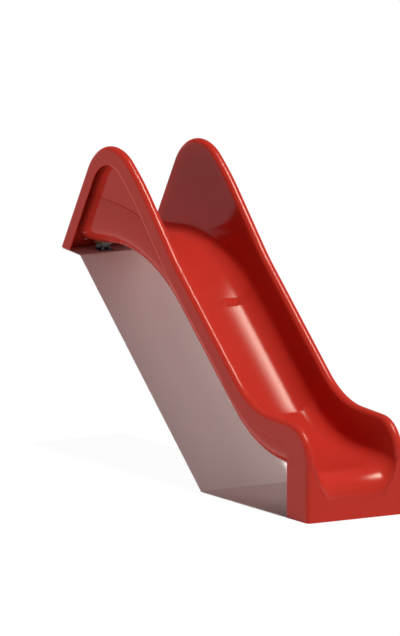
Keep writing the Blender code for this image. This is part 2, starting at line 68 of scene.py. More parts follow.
# The floor's run into its fillet, by distance from the middle line
FLOOR_EASE_START = 0.090
FLOOR_EASE_TOP = 0.165
FLOOR_EASE_RISE = 0.0030
FLOOR_EASE_GROWTH = 4

# Joint line between the chute and the side mouldings
JOINT_HEIGHT = 0.234
ENTRY_JOINT_HEIGHT = 0.246
ENTRY_JOINT_FALL = math.radians(2.7)
JOINT_RADIUS = 1.266
RIM_LAP_DEPTH = 0.035

# Side mouldings
RIM_WIDTH = 0.054
WALL_HEIGHT = 0.250
RUNOUT_WALL_HEIGHT = 0.266
FLANGE_DEPTH = 0.112
LEG_FLANGE_DEPTH = 0.092
RUNOUT_RIM_RADIUS = 0.586
FRONT_CORNER_RADIUS = 0.200

# Barriers beside the entry
BARRIER_HEIGHT = 0.560
PEAK_ADVANCE = 0.081
PEAK_RADIUS = 0.298
LEG_ANGLE = math.radians(59.3)
SHOULDER_ANGLE = math.radians(38.0)
BARRIER_ANGLE = math.radians(45.5)
BARRIER_TOE = 0.325
SHOULDER_RADIUS = 1.360
TOE_RADIUS = 1.200

# Run-out skirt and rear panel
SKIRT_LENGTH = 0.219
SKIRT_HEIGHT = 0.298
REAR_PANEL_RISE = 0.072

# Bank plate
PLATE_THICKNESS = 0.004
LANDING_DROP = 0.070
LANDING_LENGTH = 0.191
LANDING_FALL = math.radians(4.0)
BANK_ANGLE = math.radians(40.7)
FOLD_RADIUS = 0.012
TONGUE_SETBACK = 0.045
TONGUE_CLEARANCE = 0.002

# Shading of the slope's floor, which leans inwards as if the laminate had sunk a little there
DISH_ANGLE = math.radians(14.4)
DISH_HALF = 0.136
DISH_GROWTH = 1.25
DISH_RUN_ON = 0.028
SEAM_ANGLE = math.radians(28.0)
SEAM_ABOVE = 0.036
SEAM_BELOW = 0.008
FLOOR_FACING = 0.05

# Shading of the lip, which sets in before its arc, by distance from the front
LIP_DISH_HALF = 0.170
LIP_EASE_START = 0.220
LIP_EASE_END = 0.060
LIP_EASE_GROWTH = 2.68

# Trimmed edges of the laminate: eased on the outer side, with a pale band along the flange that is
# a painted highlight
EDGE_HIGHLIGHT_WIDTH = 0.006
EDGE_EASE = 0.0026
EASE_STEPS = 3
EASE_ANGLE = math.radians(60.0)

# Refraction of the resins, and specular level of the polished finishes (0.5 is plain lacquer)
RESIN_IOR = 1.5
GELCOAT_GLEAM = 0.085
COATING_GLEAM = 0.15

# Fineness of the meshes
ARC_STEP = math.radians(1.25)
FOLD_STEP = math.radians(5.0)
RUN_STEP = 0.015
RIM_STEPS = 32
FILLET_STEPS = 22
FLOOR_STEPS = 12
SHARP_ANGLE = math.radians(28.0)
WELD = 0.00001
FILLET_SHARE = 0.98

# Reach of the cutting shapes
CUT_MARGIN = 0.1
FAR_BELOW = -0.5
FAR_BEHIND = -5.0
FAR_AHEAD = 1.0

# Sizes that follow from the ones above
HALF_INNER = INNER_WIDTH / 2
RIM_RADIUS = RIM_WIDTH / 2
HALF_OUTER = HALF_INNER + RIM_WIDTH
TRIM_HEIGHT = ENTRY_JOINT_HEIGHT + CUT_MARGIN
CUT_REACH = HALF_OUTER + CUT_MARGIN


def ray(angle):
    """Unit direction in the side view, with the angle up from +X."""
    return Vector((math.cos(angle), math.sin(angle)))


def left_of(direction):
    """The direction turned a quarter turn to the left, which is up for +X."""
    return Vector((-direction.y, direction.x))


def meeting(point_a, angle_a, point_b, angle_b):
    """Where two lines meet in the side view, each through a point at an angle."""
    a, b = ray(angle_a), ray(angle_b)
    gap = point_b - point_a
    along = (gap.x * b.y - gap.y * b.x) / (a.x * b.y - a.y * b.x)
    return point_a + a * along


def divided(start, end):
    """Points between two ends, the ends left out, no further apart than the run step."""
    count = math.ceil((end - start).length / RUN_STEP)
    return [start.lerp(end, k / count) for k in range(1, count)]


def rounded(corners, radii, step=ARC_STEP):
    """Points along straight runs through the corners, each inner corner rounded."""
    count = len(corners)
    turns, cuts = [0.0] * count, [0.0] * count
    for i in range(1, count - 1):
        before = corners[i] - corners[i - 1]
        after = corners[i + 1] - corners[i]
        turns[i] = math.atan2(before.x * after.y - before.y * after.x, before.dot(after))
        cuts[i] = radii[i] * math.tan(abs(turns[i]) / 2)
    for i in range(count - 1):
        run = (corners[i + 1] - corners[i]).length
        wanted = cuts[i] + cuts[i + 1]
        if wanted > run:
            cuts[i] *= FILLET_SHARE * run / wanted
            cuts[i + 1] *= FILLET_SHARE * run / wanted
    points = [corners[0].copy()]
    for i in range(1, count - 1):
        before = (corners[i] - corners[i - 1]).normalized()
        radius = cuts[i] / math.tan(abs(turns[i]) / 2)
        side = left_of(before) * math.copysign(1.0, turns[i])
        start = corners[i] - before * cuts[i]
        centre = start + side * radius
        points += divided(points[-1], start)
        steps = max(2, math.ceil(abs(turns[i]) / step))
        for k in range(steps + 1):
            bend = abs(turns[i]) * k / steps
            inward = side * radius * math.cos(bend)
            onward = before * radius * math.sin(bend)
            points.append(centre - inward + onward)
    points += divided(points[-1], corners[-1])
    points.append(corners[-1].copy())
    return points


def normals(points):
    """Left-hand unit normals of a side-view line, one for each point."""
    result = []
    for i in range(len(points)):
        ahead = points[min(i + 1, len(points) - 1)]
        behind = points[max(i - 1, 0)]
        result.append(left_of((ahead - behind).normalized()))
    return result


def shifted(points, distance):
    """The line moved to its left by a distance."""
    return [p + n * distance for p, n in zip(points, normals(points))]


# Side-view lines of the chute floor
slope_up = left_of(ray(-SLOPE))
runout_up = left_of(ray(-RUNOUT_FALL))
dip_corner = Vector((-RUNOUT_LENGTH, RUNOUT_HEIGHT + RUNOUT_LENGTH * math.tan(RUNOUT_FALL)))
crest_centre = meeting(
    dip_corner - slope_up * CREST_RADIUS, -SLOPE, Vector((0.0, ENTRY_HEIGHT - CREST_RADIUS)), 0.0
)
entry_start = crest_centre + left_of(ray(ENTRY_RISE)) * CREST_RADIUS
crest_corner = meeting(entry_start, ENTRY_RISE, dip_corner, -SLOPE)
slope_top = crest_centre.x + CREST_RADIUS * math.sin(SLOPE)
slope_foot = dip_corner.x - DIP_RADIUS * math.tan((SLOPE - RUNOUT_FALL) / 2) * math.cos(SLOPE)
front_corner = Vector((0.0, RUNOUT_HEIGHT))
lip_end = Vector((0.0, RUNOUT_HEIGHT - LIP_DEPTH))

# Side-view line of the joint between the chute and the side mouldings
entry_joint = Vector((crest_centre.x, ENTRY_HEIGHT + ENTRY_JOINT_HEIGHT))
slope_joint = dip_corner + slope_up * JOINT_HEIGHT
runout_joint = dip_corner + runout_up * JOINT_HEIGHT
joint_crest = meeting(entry_joint, -ENTRY_JOINT_FALL, slope_joint, -SLOPE)
joint_dip = meeting(slope_joint, -SLOPE, runout_joint, -RUNOUT_FALL)

# Side-view outline of the side mouldings
slope_rim = dip_corner + slope_up * WALL_HEIGHT
runout_rim = dip_corner + runout_up * RUNOUT_WALL_HEIGHT
rim_dip = meeting(slope_rim, -SLOPE, runout_rim, -RUNOUT_FALL)
rim_front = meeting(runout_rim, -RUNOUT_FALL, Vector((0.0, 0.0)), math.pi / 2)
rim_toe = crest_corner + ray(-SLOPE) * BARRIER_TOE + slope_up * WALL_HEIGHT
peak_centre = Vector((crest_centre.x + PEAK_ADVANCE, ENTRY_HEIGHT + BARRIER_HEIGHT - PEAK_RADIUS))
shoulder_point = peak_centre + left_of(ray(-SHOULDER_ANGLE)) * PEAK_RADIUS
leg_point = peak_centre + left_of(ray(LEG_ANGLE)) * PEAK_RADIUS
rim_shoulder = meeting(shoulder_point, -SHOULDER_ANGLE, rim_toe, -BARRIER_ANGLE)
rim_peak = meeting(leg_point, LEG_ANGLE, shoulder_point, -SHOULDER_ANGLE)

# Side-view line of the bank plate's top face
landing_height = ENTRY_HEIGHT - LANDING_DROP
leg_middle = leg_point - left_of(ray(LEG_ANGLE)) * RIM_RADIUS
landing_rear = meeting(leg_middle, LEG_ANGLE, Vector((0.0, landing_height)), 0.0)
landing_fold = landing_rear + ray(-LANDING_FALL) * LANDING_LENGTH
foot_fold = meeting(landing_fold, -BANK_ANGLE, Vector((0.0, PLATE_THICKNESS)), 0.0)
plate_front = Vector((-TONGUE_SETBACK, PLATE_THICKNESS))
leg_foot = meeting(leg_point, LEG_ANGLE, Vector((0.0, landing_height - LANDING_DROP)), 0.0)
chute_rear = meeting(leg_point, LEG_ANGLE, entry_start, ENTRY_RISE)

floor_line = rounded(
    [chute_rear, crest_corner, dip_corner, front_corner, lip_end],
    [0.0, CREST_RADIUS, DIP_RADIUS, FRONT_LIP_RADIUS, 0.0],
)
joint_line = rounded(
    [
        meeting(leg_point, LEG_ANGLE, entry_joint, -ENTRY_JOINT_FALL),
        joint_crest,
        joint_dip,
        meeting(runout_joint, -RUNOUT_FALL, Vector((FAR_AHEAD, 0.0)), math.pi / 2),
    ],
    [0.0, JOINT_RADIUS, DIP_RADIUS - JOINT_HEIGHT, 0.0],
)
outline = rounded(
    [leg_foot, rim_peak, rim_shoulder, rim_toe, rim_dip, rim_front, Vector((0.0, SKIRT_HEIGHT))],
    [0.0, PEAK_RADIUS, SHOULDER_RADIUS, TOE_RADIUS, RUNOUT_RIM_RADIUS, FRONT_CORNER_RADIUS, 0.0],
)
plate_line = rounded(
    [landing_rear, landing_fold, foot_fold, plate_front],
    [0.0, FOLD_RADIUS, FOLD_RADIUS, 0.0],
    FOLD_STEP,
)


class Value:
    """A shader socket in an expression, where + - * / add Math nodes."""

    def __init__(self, shader, socket):
        self.shader = shader
        self.socket = socket

    def math(self, operation, *values):
        sockets = dict(enumerate(values))
        return self.shader.node("ShaderNodeMath", {"operation": operation}, sockets)

    def __add__(self, other):
        return self.math("ADD", self, other)

    def __radd__(self, other):
        return self.math("ADD", other, self)

    def __sub__(self, other):
        return self.math("SUBTRACT", self, other)

    def __rsub__(self, other):
        return self.math("SUBTRACT", other, self)

    def __mul__(self, other):
        return self.math("MULTIPLY", self, other)

    def __rmul__(self, other):
        return self.math("MULTIPLY", other, self)

    def __truediv__(self, other):
        return self.math("DIVIDE", self, other)

    def __rtruediv__(self, other):
        return self.math("DIVIDE", other, self)


class Shader:
    """A node tree being wired, for a material or the world."""

    def __init__(self, owner):
        self.owner = owner
        owner.use_nodes = True
        self.tree = owner.node_tree
        self.tree.nodes.clear()

    def node(self, kind, settings=None, sockets=None, output=0):
        """Adds one node: settings first, then the values or links of its sockets."""
        made = self.tree.nodes.new(kind)
        for name, setting in (settings or {}).items():
            setattr(made, name, setting)
        for name, value in (sockets or {}).items():
            if isinstance(value, Value):
                self.tree.links.new(value.socket, made.inputs[name])
            else:
                made.inputs[name].default_value = value
        return Value(self, made.outputs[output]) if made.outputs else None

    def coordinates(self):
        return self.node("ShaderNodeTexCoord", output="Object")

    def noise(self, scale, detail=2.0, roughness=0.5, stretch=(1.0, 1.0, 1.0)):
        """Noise from 0 to 1 over the object, its pattern stretched along the axes."""
        place = self.node(
            "ShaderNodeMapping", None, {"Vector": self.coordinates(), "Scale": stretch}
        )
        return self.node(
            "ShaderNodeTexNoise",
            None,
            {"Vector": place, "Scale": scale, "Detail": detail, "Roughness": roughness},
            "Fac",
        )

    def looked_at(self):
        """1 for camera, glossy and transmission rays, which see the background."""
        kinds = ("Is Camera Ray", "Is Glossy Ray", "Is Transmission Ray")
        camera, glossy, through = [self.node("ShaderNodeLightPath", output=kind) for kind in kinds]
        return camera + glossy + through

    def between(self, share, low, high):
        """A share mapped to a range, with its ends held."""
        return self.node(
            "ShaderNodeMapRange",
            {"clamp": True},
            {"Value": share, "From Min": 0.0, "From Max": 1.0, "To Min": low, "To Max": high},
        )

    def blend(self, share, first, second):
        """Two colours mixed by a share."""
        return self.node(
            "ShaderNodeMix",
            {"data_type": "RGBA"},
            {"Factor": share, 6: first, 7: second},
            2,
        )

    def bump(self, height, distance):
        return self.node("ShaderNodeBump", None, {"Height": height, "Distance": distance})

    def surface(self, **sockets):
        """The Principled surface that ends a material."""
        names = {name.replace("_", " "): value for name, value in sockets.items()}
        shader = self.node("ShaderNodeBsdfPrincipled", None, names)
        self.node("ShaderNodeOutputMaterial", None, {"Surface": shader})
        return self.owner


def colour(red, green, blue):
    return (red, green, blue, 1.0)


def grey(level):
    return colour(level, level, level)


def red_gelcoat():
    """Polished red gelcoat, with a faint mottle and the light ripple of a mould."""
    s = Shader(bpy.data.materials.new("red_gelcoat_finish"))
    mottle = s.noise(scale=3.0, detail=3.0)
    ripple = s.noise(scale=55.0, detail=1.0)
    haze = s.noise(scale=9.0, detail=4.0, roughness=0.6)
    return s.surface(
        Base_Color=s.blend(mottle, colour(0.465, 0.028, 0.017), colour(0.495, 0.030, 0.019)),
        Roughness=s.between(haze, 0.06, 0.10),
        IOR=RESIN_IOR,
        Specular_IOR_Level=GELCOAT_GLEAM,
        Normal=s.bump(ripple, distance=0.00004),
    )


def painted_edge_highlight():
    """Band along the trimmed edge of the laminate, a little paler than the gelcoat: a painted
    highlight, with fine marks in it.
    """
    s = Shader(bpy.data.materials.new("painted_edge_highlight_finish"))
    marks = s.noise(scale=90.0, detail=3.0)
    return s.surface(
        Base_Color=s.blend(marks, colour(0.78, 0.10, 0.07), colour(0.88, 0.15, 0.11)),
        Roughness=s.between(marks, 0.20, 0.34),
        IOR=RESIN_IOR,
        Specular_IOR_Level=GELCOAT_GLEAM,
        Normal=s.bump(marks, distance=0.00005),
    )


def red_laminate():
    """Back of the laminate: strands of glass under a brushed coat of resin."""
    s = Shader(bpy.data.materials.new("red_laminate_finish"))
    strands = s.noise(scale=160.0, detail=4.0, roughness=0.7, stretch=(1.0, 3.0, 1.0))
    return s.surface(
        Base_Color=s.blend(strands, colour(0.36, 0.035, 0.026), colour(0.50, 0.065, 0.045)),
        Roughness=s.between(strands, 0.45, 0.70),
        IOR=RESIN_IOR,
        Normal=s.bump(strands, distance=0.0006),
    )


def grey_plate():
    """Grey powder coat with its fine orange peel; its colour is painted lighter and pinker than
    grey, to make up for the shade under the slide and as painted red light thrown from the chute.
    """
    s = Shader(bpy.data.materials.new("grey_plate_finish"))
    cloud = s.noise(scale=2.2, detail=3.0)
    peel = s.noise(scale=420.0)
    return s.surface(
        # Pale pinkish grey: painted light for the shade under the slide, and painted red bounce
        # from the chute
        Base_Color=s.blend(cloud, colour(0.86, 0.77, 0.745), colour(0.88, 0.79, 0.765)),
        Roughness=s.between(cloud, 0.30, 0.34),
        IOR=RESIN_IOR,
        Specular_IOR_Level=COATING_GLEAM,
        Normal=s.bump(peel, distance=0.00006),
    )


def zinc_steel():
    """Zinc plating with a cloudy spangle, nearly black as painted shade, so that the brackets
    under the entry sink into the shadow there.
    """
    s = Shader(bpy.data.materials.new("zinc_steel_finish"))
    spangle = s.node(
        "ShaderNodeTexVoronoi", None, {"Vector": s.coordinates(), "Scale": 130.0}, "Distance"
    )
    return s.surface(
        # Nearly black colour: painted shade for the brackets in the shadow under the entry
        Base_Color=s.blend(spangle, colour(0.12, 0.12, 0.125), colour(0.20, 0.20, 0.205)),
        Roughness=s.between(spangle, 0.38, 0.52),
        Metallic=1.0,
        Normal=s.bump(spangle, distance=0.0001),
    )


def pad_resin():
    """Filled resin of the fixing blocks, with short fibres in it, made dark as painted shade so
    that they sink into the shadow under the entry.
    """
    s = Shader(bpy.data.materials.new("pad_resin_finish"))
    grain = s.noise(scale=240.0, detail=3.0, roughness=0.6)
    return s.surface(
        # Dark colour: painted shade for the blocks in the shadow under the entry
        Base_Color=s.blend(grain, colour(0.16, 0.06, 0.04), colour(0.24, 0.10, 0.06)),
        Roughness=s.between(grain, 0.50, 0.70),
        Normal=s.bump(grain, distance=0.0004),
    )


finishes = {
    "red_gelcoat": red_gelcoat(),
    "painted_edge_highlight": painted_edge_highlight(),
    "red_laminate": red_laminate(),
    "grey_plate": grey_plate(),
    "zinc_steel": zinc_steel(),
    "pad_resin": pad_resin(),
}


def linked(name, mesh):
    thing = bpy.data.objects.new(name, mesh)
    bpy.context.scene.collection.objects.link(thing)
    return thing


def loft(name, rings):
    """A closed body through rings of points, with a flat cap on each end."""
    shape = bmesh.new()
    rows = [[shape.verts.new(p) for p in ring] for ring in rings]
    count = len(rows[0])
    for low, high in zip(rows, rows[1:]):
        for i in range(count):
            k = (i + 1) % count
            shape.faces.new((low[i], low[k], high[k], high[i]))
    shape.faces.new(list(reversed(rows[0])))
    shape.faces.new(rows[-1])
    bmesh.ops.recalc_face_normals(shape, faces=shape.faces)
    mesh = bpy.data.meshes.new(name)
    shape.to_mesh(mesh)
    shape.free()
    return linked(name, mesh)


def prism(name, points, y_low, y_high):
    """A side-view outline made solid between two widths."""
    return loft(name, [[(p.x, y, p.y) for p in points] for y in (y_low, y_high)])


def swept(name, path, section):
    """A closed section of (height, width) pairs carried along a side-view line."""
    rings = []
    for point, normal in zip(path, normals(path)):
        rings.append([(point.x + normal.x * h, w, point.y + normal.y * h) for h, w in section])
    return loft(name, rings)


def thickened(thing):
    """Gives a sheet the laminate's thickness, inwards from its outer face."""
    wall = thing.modifiers.new("wall", "SOLIDIFY")
    wall.thickness = SHELL
    wall.offset = -1.0
    wall.use_even_offset = True
    return thing


def cut(thing, tool, operation="DIFFERENCE"):
    """Cuts a thing with a tool, or keeps only what both hold."""
    boolean = thing.modifiers.new("cut", "BOOLEAN")
    boolean.operation = operation
    boolean.object = tool
    boolean.solver = "EXACT"


def applied(thing):
    """Applies a thing's modifiers to its mesh."""
    bpy.context.view_layer.update()
    graph = bpy.context.evaluated_depsgraph_get()
    mesh = bpy.data.meshes.new_from_object(thing.evaluated_get(graph))
    thing.modifiers.clear()
    thing.data = mesh
    return mesh


def eased(thing):
    """Rounds the laminate's sharp edges behind the skirt, on the outer side."""
    mesh = thing.data
    shape = bmesh.new()
    shape.from_mesh(mesh)
    weight = shape.edges.layers.float.new("bevel_weight_edge")
    for edge in shape.edges:
        outside = all(
            abs(v.co.y) > HALF_INNER + SHELL / 2 and v.co.x < -SKIRT_LENGTH for v in edge.verts
        )
        if outside and edge.is_manifold and edge.calc_face_angle() > EASE_ANGLE:
            edge[weight] = 1.0
    shape.to_mesh(mesh)
    shape.free()
    ease = thing.modifiers.new("ease", "BEVEL")
    ease.width = EDGE_EASE
    ease.segments = EASE_STEPS
    ease.limit_method = "WEIGHT"
    ease.use_clamp_overlap = False
    applied(thing)


def settled(thing, *tools, edges=False):
    """Applies the modifiers, removes the cutting tools, eases the edges and shades the mesh."""
    mesh = applied(thing)
    shape = bmesh.new()
    shape.from_mesh(mesh)
    bmesh.ops.remove_doubles(shape, verts=shape.verts, dist=WELD)
    bmesh.ops.dissolve_degenerate(shape, edges=shape.edges, dist=WELD)
    shape.to_mesh(mesh)
    shape.free()
    if edges:
        eased(thing)
    mesh = thing.data
    mesh.shade_smooth()
    mesh.set_sharp_from_angle(angle=SHARP_ANGLE)
    even = thing.modifiers.new("even", "WEIGHTED_NORMAL")
    even.keep_sharp = True
    for tool in tools:
        bpy.data.objects.remove(tool)
    return thing


def dressed(thing, slot, *nodes):
    """Gives a piece its finish, its body and the nodes that it stands for."""
    if not thing.data.materials:
        thing.data.materials.append(finishes[slot])
    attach(thing, "root")
    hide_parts(*nodes)


def floor_ease(width):
    """How much the floor rises before and into its fillet, so that the two run together."""
    if width < FLOOR_EASE_TOP:
        share = max(0.0, (width - FLOOR_EASE_START) / (FLOOR_EASE_TOP - FLOOR_EASE_START))
        share = share ** FLOOR_EASE_GROWTH
    else:
        share = max(0.0, 1 - (width - FLOOR_EASE_TOP) / (HALF_INNER - FLOOR_EASE_TOP))
    return FLOOR_EASE_RISE * share


def chute_edge(offset, top):
    """Half of the chute's section, moved out by an offset, from the wall's top to the middle."""
    flat = HALF_INNER - FLOOR_FILLET
    radius = FLOOR_FILLET + offset
    points = [(top, HALF_INNER + offset)]
    for k in range(FILLET_STEPS + 1):
        turn = math.pi / 2 * k / FILLET_STEPS
        points.append((FLOOR_FILLET - radius * math.sin(turn), flat + radius * math.cos(turn)))
    for k in range(1, FLOOR_STEPS + 1):
        points.append((-offset, flat * (1 - k / FLOOR_STEPS)))
    return [(h + floor_ease(w), w) for h, w in points]


def chute_section(offset, top):
    """The chute's whole section from the left wall's top to the right wall's top."""
    half = chute_edge(offset, top)
    return half + [(h, -w) for h, w in reversed(half[:-1])]


def joint_zone(name, play, y_low, y_high):
    """Everything below the joint line and inside the lap of the rim, with some play."""
    depth = RIM_LAP_DEPTH + FIT_GAP - play
    nose_height = SKIRT_HEIGHT - FIT_GAP + play
    lap = [p for p in shifted(outline, -depth) if p.y > nose_height or p.x < -SKIRT_LENGTH]
    nose = [Vector((-depth, nose_height)), Vector((0.0, nose_height)), Vector((0.0, FAR_BELOW))]
    rear = [Vector((FAR_BEHIND, FAR_BELOW)), lap[0] - ray(LEG_ANGLE)]
    zone = prism(name, lap + nose + rear, y_low, y_high)
    line = shifted(joint_line, play)
    line[0] = line[0] - ray(-ENTRY_JOINT_FALL)
    below = [
        Vector((FAR_AHEAD, FAR_BELOW)),
        Vector((FAR_BEHIND, FAR_BELOW)),
        Vector((FAR_BEHIND, ENTRY_HEIGHT)),
    ]
    under_line = prism(name + "_line", line + below, y_low - SHELL, y_high + SHELL)
    cut(zone, under_line, "INTERSECT")
    return settled(zone, under_line)


def bank_zone():
    """Everything below the landing, with the fitting gap."""
    rear = landing_rear - ray(-LANDING_FALL)
    lift = Vector((0.0, FIT_GAP))
    low_rear = Vector((rear.x, FAR_BELOW))
    low_fold = Vector((landing_fold.x, FAR_BELOW))
    corners = [rear + lift, landing_fold + lift, low_fold, low_rear]
    return prism("bank_zone", corners, -CUT_REACH, CUT_REACH)


def chute_bulk():
    """The chute filled from wall to wall, for cutting what fits round it."""
    line = floor_line[:-1] + [floor_line[-1] - Vector((0.0, FIT_GAP))]
    return swept("chute_bulk", line, chute_section(SHELL + FIT_GAP, TRIM_HEIGHT))


def crest_share(x):
    """How far a place lies from the crest's top to the start of the straight slope."""
    return (x - crest_centre.x) / (slope_top - crest_centre.x)


def lip_share(x):
    """How far a place lies along the stretch where the lip's shading sets in."""
    return (x + LIP_EASE_START) / (LIP_EASE_START - LIP_EASE_END)


def lip_pitch(x, pitch):
    """Forward turn of the shading, which starts well before the lip's arc."""
    if not -LIP_EASE_START < x < -LIP_EASE_END:
        return pitch
    reached = math.asin(1 - LIP_EASE_END / FRONT_LIP_RADIUS)
    return RUNOUT_FALL + (reached - RUNOUT_FALL) * lip_share(x) ** LIP_EASE_GROWTH


def dish_turn(width, half, lean):
    """How far the shading leans inwards at a distance from the middle line."""
    if width < half:
        return lean * (width / half) ** DISH_GROWTH
    share = math.asin((width - half) / (HALF_INNER - half)) / (math.pi / 2)
    return lean + (math.pi / 2 - lean) * share


def leaned(spot, normal, half, lean, share):
    """A floor normal turned towards the middle line, by a share of the dish's turn there."""
    true_turn = math.asin(min(1.0, abs(normal.y)))
    turn = true_turn + (dish_turn(abs(spot.y), half, lean) - true_turn) * share
    pitch = lip_pitch(spot.x, math.atan2(normal.x, normal.z))
    upright = Vector((math.sin(pitch), 0.0, math.cos(pitch)))
    inward = Vector((0.0, -math.copysign(1.0, spot.y), 0.0))
    return upright * math.cos(turn) + inward * math.sin(turn)


def dish(thing):
    """Leans the floor's shading inwards on the slope and the lip, and fades over the crest."""
    mesh = thing.data
    corners = [Vector(c.vector) for c in mesh.corner_normals]
    for face in mesh.polygons:
        along = face.center.x
        on_lip = along > -LIP_EASE_START
        on_slope = crest_centre.x < along < slope_foot + DISH_RUN_ON
        faces_up = face.normal.x + face.normal.z >= FLOOR_FACING
        if not faces_up or not (on_slope or on_lip):
            continue
        half = LIP_DISH_HALF if on_lip else DISH_HALF
        lean = DISH_ANGLE
        if slope_top - SEAM_ABOVE < along < slope_top + SEAM_BELOW:
            if abs(face.center.y) < half:
                continue
            lean = SEAM_ANGLE
        for corner in face.loop_indices:
            spot = mesh.vertices[mesh.loops[corner].vertex_index].co
            if abs(spot.y) >= HALF_INNER - WELD:
                continue
            share = lip_share(spot.x) if on_lip else crest_share(spot.x)
            share = min(1.0, max(0.0, share))
            corners[corner] = leaned(spot, corners[corner], half, lean, share)
    mesh.normals_split_custom_set(corners)


def build_chute():
    """The U-shaped chute, from the entry over the crest to the rolled front lip."""
    inner = chute_section(0.0, TRIM_HEIGHT)
    outer = chute_section(SHELL, TRIM_HEIGHT)
    chute = swept("chute_shell", floor_line, inner + outer[::-1])
    zone = joint_zone("chute_zone", 0.0, -CUT_REACH, CUT_REACH)
    cut(chute, zone, "INTERSECT")
    settled(chute, zone, edges=True)
    # The dish sets the normals itself, so the modifier that evens them out goes
    chute.modifiers.clear()
    dish(chute)
    dressed(chute, "red_gelcoat", "chute")


def flange_depths():
    """Depth of the outer flange at each outline point: less on the leg than past the peak."""
    start, end = LEG_ANGLE, -SHOULDER_ANGLE
    depths = []
    for normal in normals(outline):
        angle = math.atan2(-normal.x, normal.y)
        share = min(1.0, max(0.0, (start - angle) / (start - end)))
        depths.append(LEG_FLANGE_DEPTH + (FLANGE_DEPTH - LEG_FLANGE_DEPTH) * share)
    return depths


def add_rim(shape, side):
    """The rounded rim, from the web over to the flange, as rows of faces along the outline."""
    sides = normals(outline)
    rows = []
    for k in range(RIM_STEPS + 1):
        turn = math.pi * k / RIM_STEPS
        y = side * (HALF_INNER + RIM_RADIUS - RIM_RADIUS * math.cos(turn))
        depth = RIM_RADIUS - RIM_RADIUS * math.sin(turn)
        row = [(p.x - n.x * depth, y, p.y - n.y * depth) for p, n in zip(outline, sides)]
        rows.append([shape.verts.new(spot) for spot in row])
    for low, high in zip(rows, rows[1:]):
        for i in range(len(outline) - 1):
            shape.faces.new([low[i], low[i + 1], high[i + 1], high[i]])
    return rows[0], rows[-1]


def add_web(shape, side, rim_edge):
    """The flat inner web, from the rim down to a line behind the chute's wall."""
    hidden = shifted(floor_line, JOINT_HEIGHT / 2)
    hidden = [p for p in hidden if crest_centre.x <= p.x < -SKIRT_LENGTH / 2]
    web = rim_edge + [shape.verts.new((p.x, side * HALF_INNER, p.y)) for p in reversed(hidden)]
    shape.faces.new(list(reversed(web)))


def add_flange(shape, side, rim_edge):
    """The outer flange, with a band along its trimmed edge that is pale, as a painted highlight,
    along the barrier and the slope.
    """
    sides = normals(outline)
    edge = [p - n * d for p, n, d in zip(outline, sides, flange_depths())]
    trimmed = [p for p in edge if p.x < -SKIRT_LENGTH and p.y > SKIRT_HEIGHT]
    highlight_line = [p + n * EDGE_HIGHLIGHT_WIDTH for p, n in zip(trimmed, sides)]
    # Where the band takes the pale finish, a painted highlight: along the barrier and the slope
    pale = [peak_centre.x <= p.x < slope_foot for p in trimmed]
    last, following = trimmed[-1], edge[len(trimmed)]
    share = (-SKIRT_LENGTH - last.x) / (following.x - last.x)
    ends = [last.lerp(following, share), Vector((-SKIRT_LENGTH, SKIRT_HEIGHT))]
    trimmed, highlight_line, ends = [
        [shape.verts.new((p.x, side * HALF_OUTER, p.y)) for p in line]
        for line in (trimmed, highlight_line, ends)
    ]
    shape.faces.new(rim_edge + ends[::-1] + [trimmed[-1]] + highlight_line[::-1])
    for i in range(len(trimmed) - 1):
        band = shape.faces.new([highlight_line[i], highlight_line[i + 1], trimmed[i + 1], trimmed[i]])
        band.material_index = int(pale[i])


def build_side(side, word):
    """One side moulding: inner web, rounded rim and outer flange in a single sheet."""
    shape = bmesh.new()
    inner_edge, outer_edge = add_rim(shape, side)
    add_web(shape, side, inner_edge)
    add_flange(shape, side, outer_edge)
    if side < 0:
        bmesh.ops.reverse_faces(shape, faces=shape.faces)
    mesh = bpy.data.meshes.new(word)
    shape.to_mesh(mesh)
    shape.free()
    # The second finish is the pale band along the flange's edge, a painted highlight
    for finish in ("red_gelcoat", "painted_edge_highlight"):
        mesh.materials.append(finishes[finish])
    moulding = thickened(linked(word + "_moulded_side", mesh))
    inner, outer = HALF_INNER - SHELL, HALF_INNER + 2 * SHELL
    low, high = (inner, outer) if side > 0 else (-outer, -inner)
    zone = joint_zone(word + "_zone", FIT_GAP, low, high)
    bank = bank_zone()
    cut(moulding, zone)
    cut(moulding, bank)
    dressed(settled(moulding, zone, bank, edges=True), "red_gelcoat", word + "_side_moulding")


def build_skirt():
    """The upright run-out skirt: a front with rounded corners and two side returns."""
    outer = rounded(
        [
            Vector((-SKIRT_LENGTH, -HALF_OUTER)),
            Vector((0.0, -HALF_OUTER)),
            Vector((0.0, HALF_OUTER)),
            Vector((-SKIRT_LENGTH, HALF_OUTER)),
        ],
        [0.0, RIM_RADIUS, RIM_RADIUS, 0.0],
        math.pi / RIM_STEPS,
    )
    ring = outer + shifted(outer, SHELL)[::-1]
    heights = (0.0, SKIRT_HEIGHT - FIT_GAP)
    skirt = loft("skirt_shell", [[(p.x, p.y, z) for p in ring] for z in heights])
    bulk = chute_bulk()
    cut(skirt, bulk)
    dressed(settled(skirt, bulk), "red_gelcoat", "runout_skirt")


def build_rear_panel():
    """The flat panel that closes the entry between the legs, below the chute's U."""
    lean = left_of(ray(LEG_ANGLE))
    top = entry_start + left_of(ray(ENTRY_RISE)) * REAR_PANEL_RISE
    corners = []
    for depth, ends in ((0.0, 1), (SHELL, -1)):
        start = leg_point - lean * (RIM_LAP_DEPTH + FIT_GAP + depth)
        low = meeting(start, LEG_ANGLE, landing_rear + Vector((0.0, FIT_GAP)), -LANDING_FALL)
        high = meeting(start, LEG_ANGLE, top, ENTRY_RISE)
        corners += [low, high][::ends]
    half = HALF_INNER + SHELL
    panel = prism("entry_panel", corners, -half, half)
    bulk = chute_bulk()
    cut(panel, bulk)
    dressed(settled(panel, bulk), "red_gelcoat", "rear_panel")


